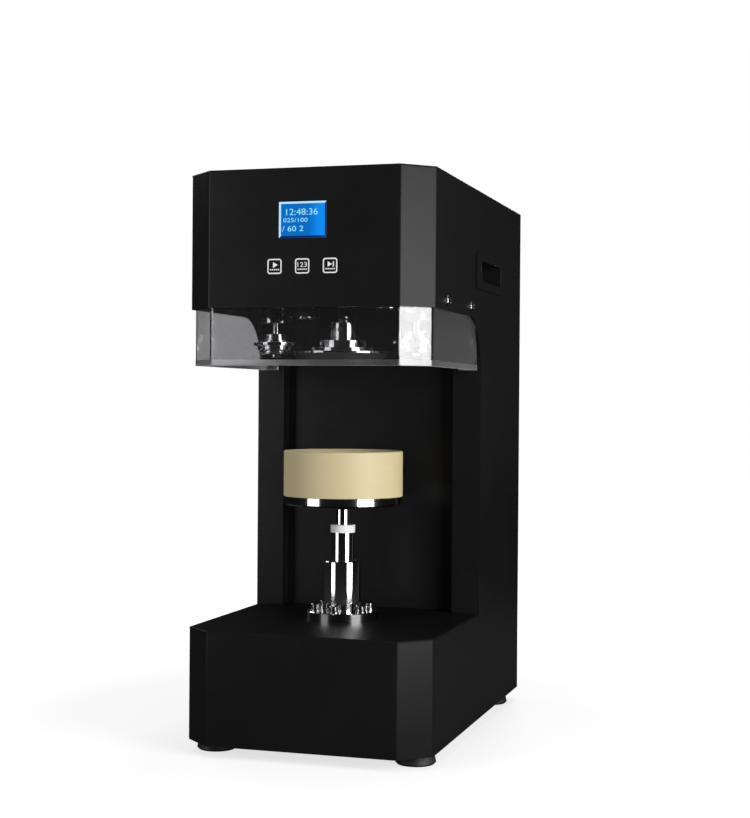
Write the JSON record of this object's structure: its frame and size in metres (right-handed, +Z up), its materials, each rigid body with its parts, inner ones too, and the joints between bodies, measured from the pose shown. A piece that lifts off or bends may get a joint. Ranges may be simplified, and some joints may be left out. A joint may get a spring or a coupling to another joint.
{
  "type": "can seamer",
  "caption": "Desktop electric can seamer with a folded steel housing, guarded seaming chuck, swinging roller arms and a cam-lifted can seat.",
  "frame": {"origin": "on the table, under the middle of the housing", "axes": "+X to the machine's right as its user sees it, +Y to the back, +Z up"},
  "size_m": [0.2648, 0.43, 0.59],
  "materials": {
    "black_coat": "satin black powder coat with a fine texture",
    "black_moulding": "matt black moulding",
    "clear_acrylic": "clear smoke-grey acrylic, polished edges",
    "display_glass": "clear window over a blue backlit display",
    "key_plastic": "black keys with a light outline and plain symbols",
    "rubber": "black rubber",
    "zinc_steel": "zinc-plated steel sheet and plate",
    "plate_aluminium": "machined aluminium",
    "turned_steel": "turned and polished steel",
    "fastener_steel": "dark and bright machine screws",
    "bronze": "sintered bronze",
    "belt_rubber": "black ribbed belt",
    "motor_paint": "grey painted motor housings",
    "white_nylon": "white nylon",
    "cream_nylon": "cream cast nylon, turned",
    "circuit_board": "green circuit board with components"
  },
  "bodies": {
    "housing": {"acrylic_guard": "clear_acrylic", "arm_bushes": "bronze", "back_cover": "black_coat", "base_deck": "black_coat", "base_front_cover": "black_coat", "bottom_plate": "zinc_steel", "cam_motor_brackets": "zinc_steel", "cam_motors": "motor_paint", "column_front_panel": "black_coat", "control_board": "circuit_board", "display_lens": "display_glass", "display_module": "circuit_board", "drive_belt": "belt_rubber", "frame_cross_brace": "zinc_steel", "frame_plates": "zinc_steel", "guide_bush": "bronze", "guide_screws": "fastener_steel", "head_front_cover": "black_coat", "housing_screws": "fastener_steel", "left_side_panel": "black_coat", "lift_bridge": "zinc_steel", "lift_gearmotor": "motor_paint", "main_motor": "motor_paint", "mechanism_plate": "plate_aluminium", "power_inlet": "black_moulding", "ram_guide": "turned_steel", "right_side_panel": "black_coat", "rubber_feet": "rubber", "side_handles": "black_moulding", "spindle_bearings": "turned_steel", "spindle_housing": "turned_steel", "top_cover": "black_coat"},
    "chuck": {"seaming_chuck": "turned_steel", "chuck_spindle": "turned_steel", "spindle_pulley": "plate_aluminium"},
    "motor_drive": {"motor_pulley": "plate_aluminium"},
    "first_arm": {"first_roller_arm": "turned_steel", "first_arm_shaft": "turned_steel", "first_follower_lever": "turned_steel", "first_roller_bolt": "turned_steel"},
    "second_arm": {"second_roller_arm": "turned_steel", "second_arm_shaft": "turned_steel", "second_follower_lever": "turned_steel", "second_roller_bolt": "turned_steel"},
    "first_roller": {"first_seaming_roller": "turned_steel"},
    "second_roller": {"second_seaming_roller": "turned_steel"},
    "first_cam": {"first_arm_cam": "turned_steel"},
    "second_cam": {"second_arm_cam": "turned_steel"},
    "lift_cam_plate": {"lift_cam": "turned_steel"},
    "ram": {"lift_ram": "turned_steel", "ram_follower": "turned_steel", "lock_ring": "white_nylon"},
    "rod": {"height_rod": "turned_steel"},
    "seat": {"seat_plate": "turned_steel", "can_seat": "cream_nylon"},
    "start_button": {"start_key": "key_plastic"},
    "count_button": {"count_key": "key_plastic"},
    "jog_button": {"jog_key": "key_plastic"},
    "power_switch": {"power_rocker": "black_moulding"}
  },
  "joints": [
    {"name": "chuck_spin", "type": "hinge", "parent": "housing", "child": "chuck", "pos_m": [0, -0.079, 0.452], "axis": [0, 0, 1], "continuous": true},
    {"name": "motor_spin", "type": "hinge", "parent": "housing", "child": "motor_drive", "pos_m": [0, 0.1177, 0.482], "axis": [0, 0, 1], "continuous": true},
    {"name": "first_arm_swing", "type": "hinge", "parent": "housing", "child": "first_arm", "pos_m": [-0.0709, -0.0006, 0.482], "axis": [0, 0, 1], "range_deg": [0, 13.4]},
    {"name": "second_arm_swing", "type": "hinge", "parent": "housing", "child": "second_arm", "pos_m": [0.0709, -0.1574, 0.482], "axis": [0, 0, 1], "range_deg": [0, 13.4]},
    {"name": "first_cam_turn", "type": "hinge", "parent": "housing", "child": "first_cam", "pos_m": [-0.086, -0.0356, 0.519], "axis": [0, 0, 1], "range_deg": [0, 181]},
    {"name": "second_cam_turn", "type": "hinge", "parent": "housing", "child": "second_cam", "pos_m": [0.086, -0.1224, 0.519], "axis": [0, 0, 1], "range_deg": [0, 181]},
    {"name": "first_roller_spin", "type": "hinge", "parent": "first_arm", "child": "first_roller", "pos_m": [-0.0847, -0.059, 0.417], "axis": [0, 0, 1], "continuous": true},
    {"name": "second_roller_spin", "type": "hinge", "parent": "second_arm", "child": "second_roller", "pos_m": [0.0847, -0.099, 0.417], "axis": [0, 0, 1], "continuous": true},
    {"name": "ram_lift", "type": "slide", "parent": "housing", "child": "ram", "axis": [0, 0, 1], "range_m": [0, 0.03]},
    {"name": "lift_cam_turn", "type": "hinge", "parent": "housing", "child": "lift_cam_plate", "pos_m": [0, -0.079, 0.068], "axis": [1, 0, 0], "range_deg": [0, 241]},
    {"name": "height_adjust", "type": "slide", "parent": "ram", "child": "rod", "axis": [0, 0, 1], "range_m": [-0.016, 0.055]},
    {"name": "seat_spin", "type": "hinge", "parent": "rod", "child": "seat", "pos_m": [0, -0.079, 0.254], "axis": [0, 0, 1], "continuous": true},
    {"name": "start_key_press", "type": "slide", "parent": "housing", "child": "start_button", "axis": [0, 1, 0], "range_m": [0, 0.0008], "stiffness_N_per_m": 600, "springref_m": -0.001},
    {"name": "count_key_press", "type": "slide", "parent": "housing", "child": "count_button", "axis": [0, 1, 0], "range_m": [0, 0.0008], "stiffness_N_per_m": 600, "springref_m": -0.001},
    {"name": "jog_key_press", "type": "slide", "parent": "housing", "child": "jog_button", "axis": [0, 1, 0], "range_m": [0, 0.0008], "stiffness_N_per_m": 600, "springref_m": -0.001},
    {"name": "power_switch_rock", "type": "hinge", "parent": "housing", "child": "power_switch", "pos_m": [0, 0.2094, 0.079], "axis": [1, 0, 0], "range_deg": [-12, 0]}
  ],
  "couplings": [
    {"joint": "motor_spin", "follows": "chuck_spin", "ratio": 1.8},
    {"joint": "first_cam_turn", "follows": "first_arm_swing", "ratio": 13.433},
    {"joint": "second_cam_turn", "follows": "second_arm_swing", "ratio": 13.433},
    {"joint": "lift_cam_turn", "follows": "ram_lift", "rad_per_m": 139.63}
  ]
}
